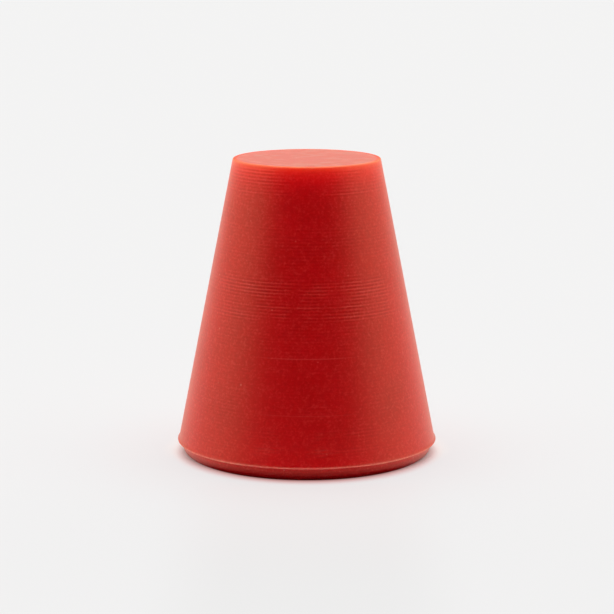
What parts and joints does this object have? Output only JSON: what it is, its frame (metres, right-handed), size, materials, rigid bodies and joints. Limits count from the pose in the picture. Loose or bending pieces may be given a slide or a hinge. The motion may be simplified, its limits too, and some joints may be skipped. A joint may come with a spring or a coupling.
{
  "type": "rubber stopper",
  "caption": "Solid tapered rubber stopper: a truncated cone with flat ends and a thin moulding flash just above its large end.",
  "frame": {"origin": "centre of the large end's flat face, which the stopper stands on", "axes": "+Z along the axis of revolution, from the large end to the small end; X and Y are free"},
  "size_m": [0.0222, 0.0222, 0.0254],
  "materials": {
    "red_rubber": "satin moulded surface with faint turning rings, slightly translucent at thin edges"
  },
  "bodies": {
    "root": {"stopper": "red_rubber"}
  },
  "joints": []
}
